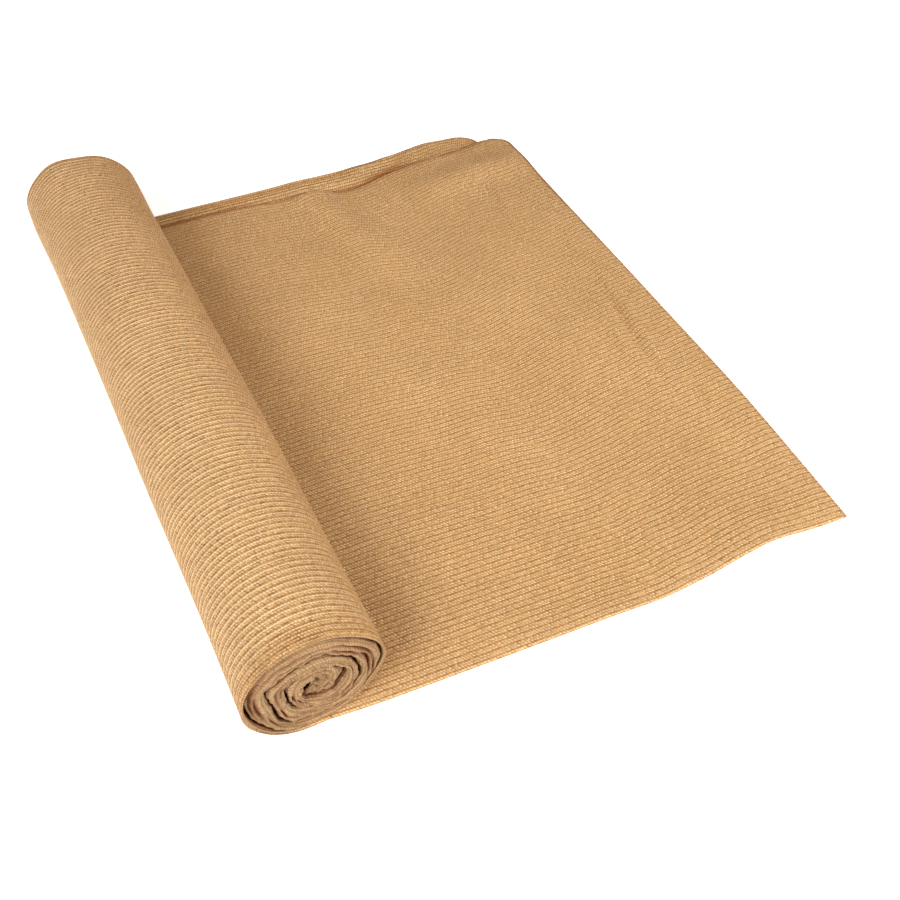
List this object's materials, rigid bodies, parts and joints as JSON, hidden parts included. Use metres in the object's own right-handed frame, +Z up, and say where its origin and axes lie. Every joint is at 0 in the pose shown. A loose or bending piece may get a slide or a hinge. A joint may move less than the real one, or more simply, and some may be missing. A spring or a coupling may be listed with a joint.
{
  "type": "shade netting",
  "caption": "Roll of knitted shade netting, folded once along its length, with a loose end lying flat beside it.",
  "frame": {"origin": "on the surface that the roll rests on, under the roll's axis, near the middle of its length", "axes": "+Y along the roll from its folded near end to its far end, +X along the loose end, +Z up"},
  "size_m": [0.4208, 0.5304, 0.0752],
  "materials": {
    "roll_netting": "matt knitted polyethylene tape",
    "loose_end_netting": "matt knitted polyethylene tape"
  },
  "bodies": {
    "root": {"roll": "roll_netting", "loose_end": "loose_end_netting"}
  },
  "joints": []
}
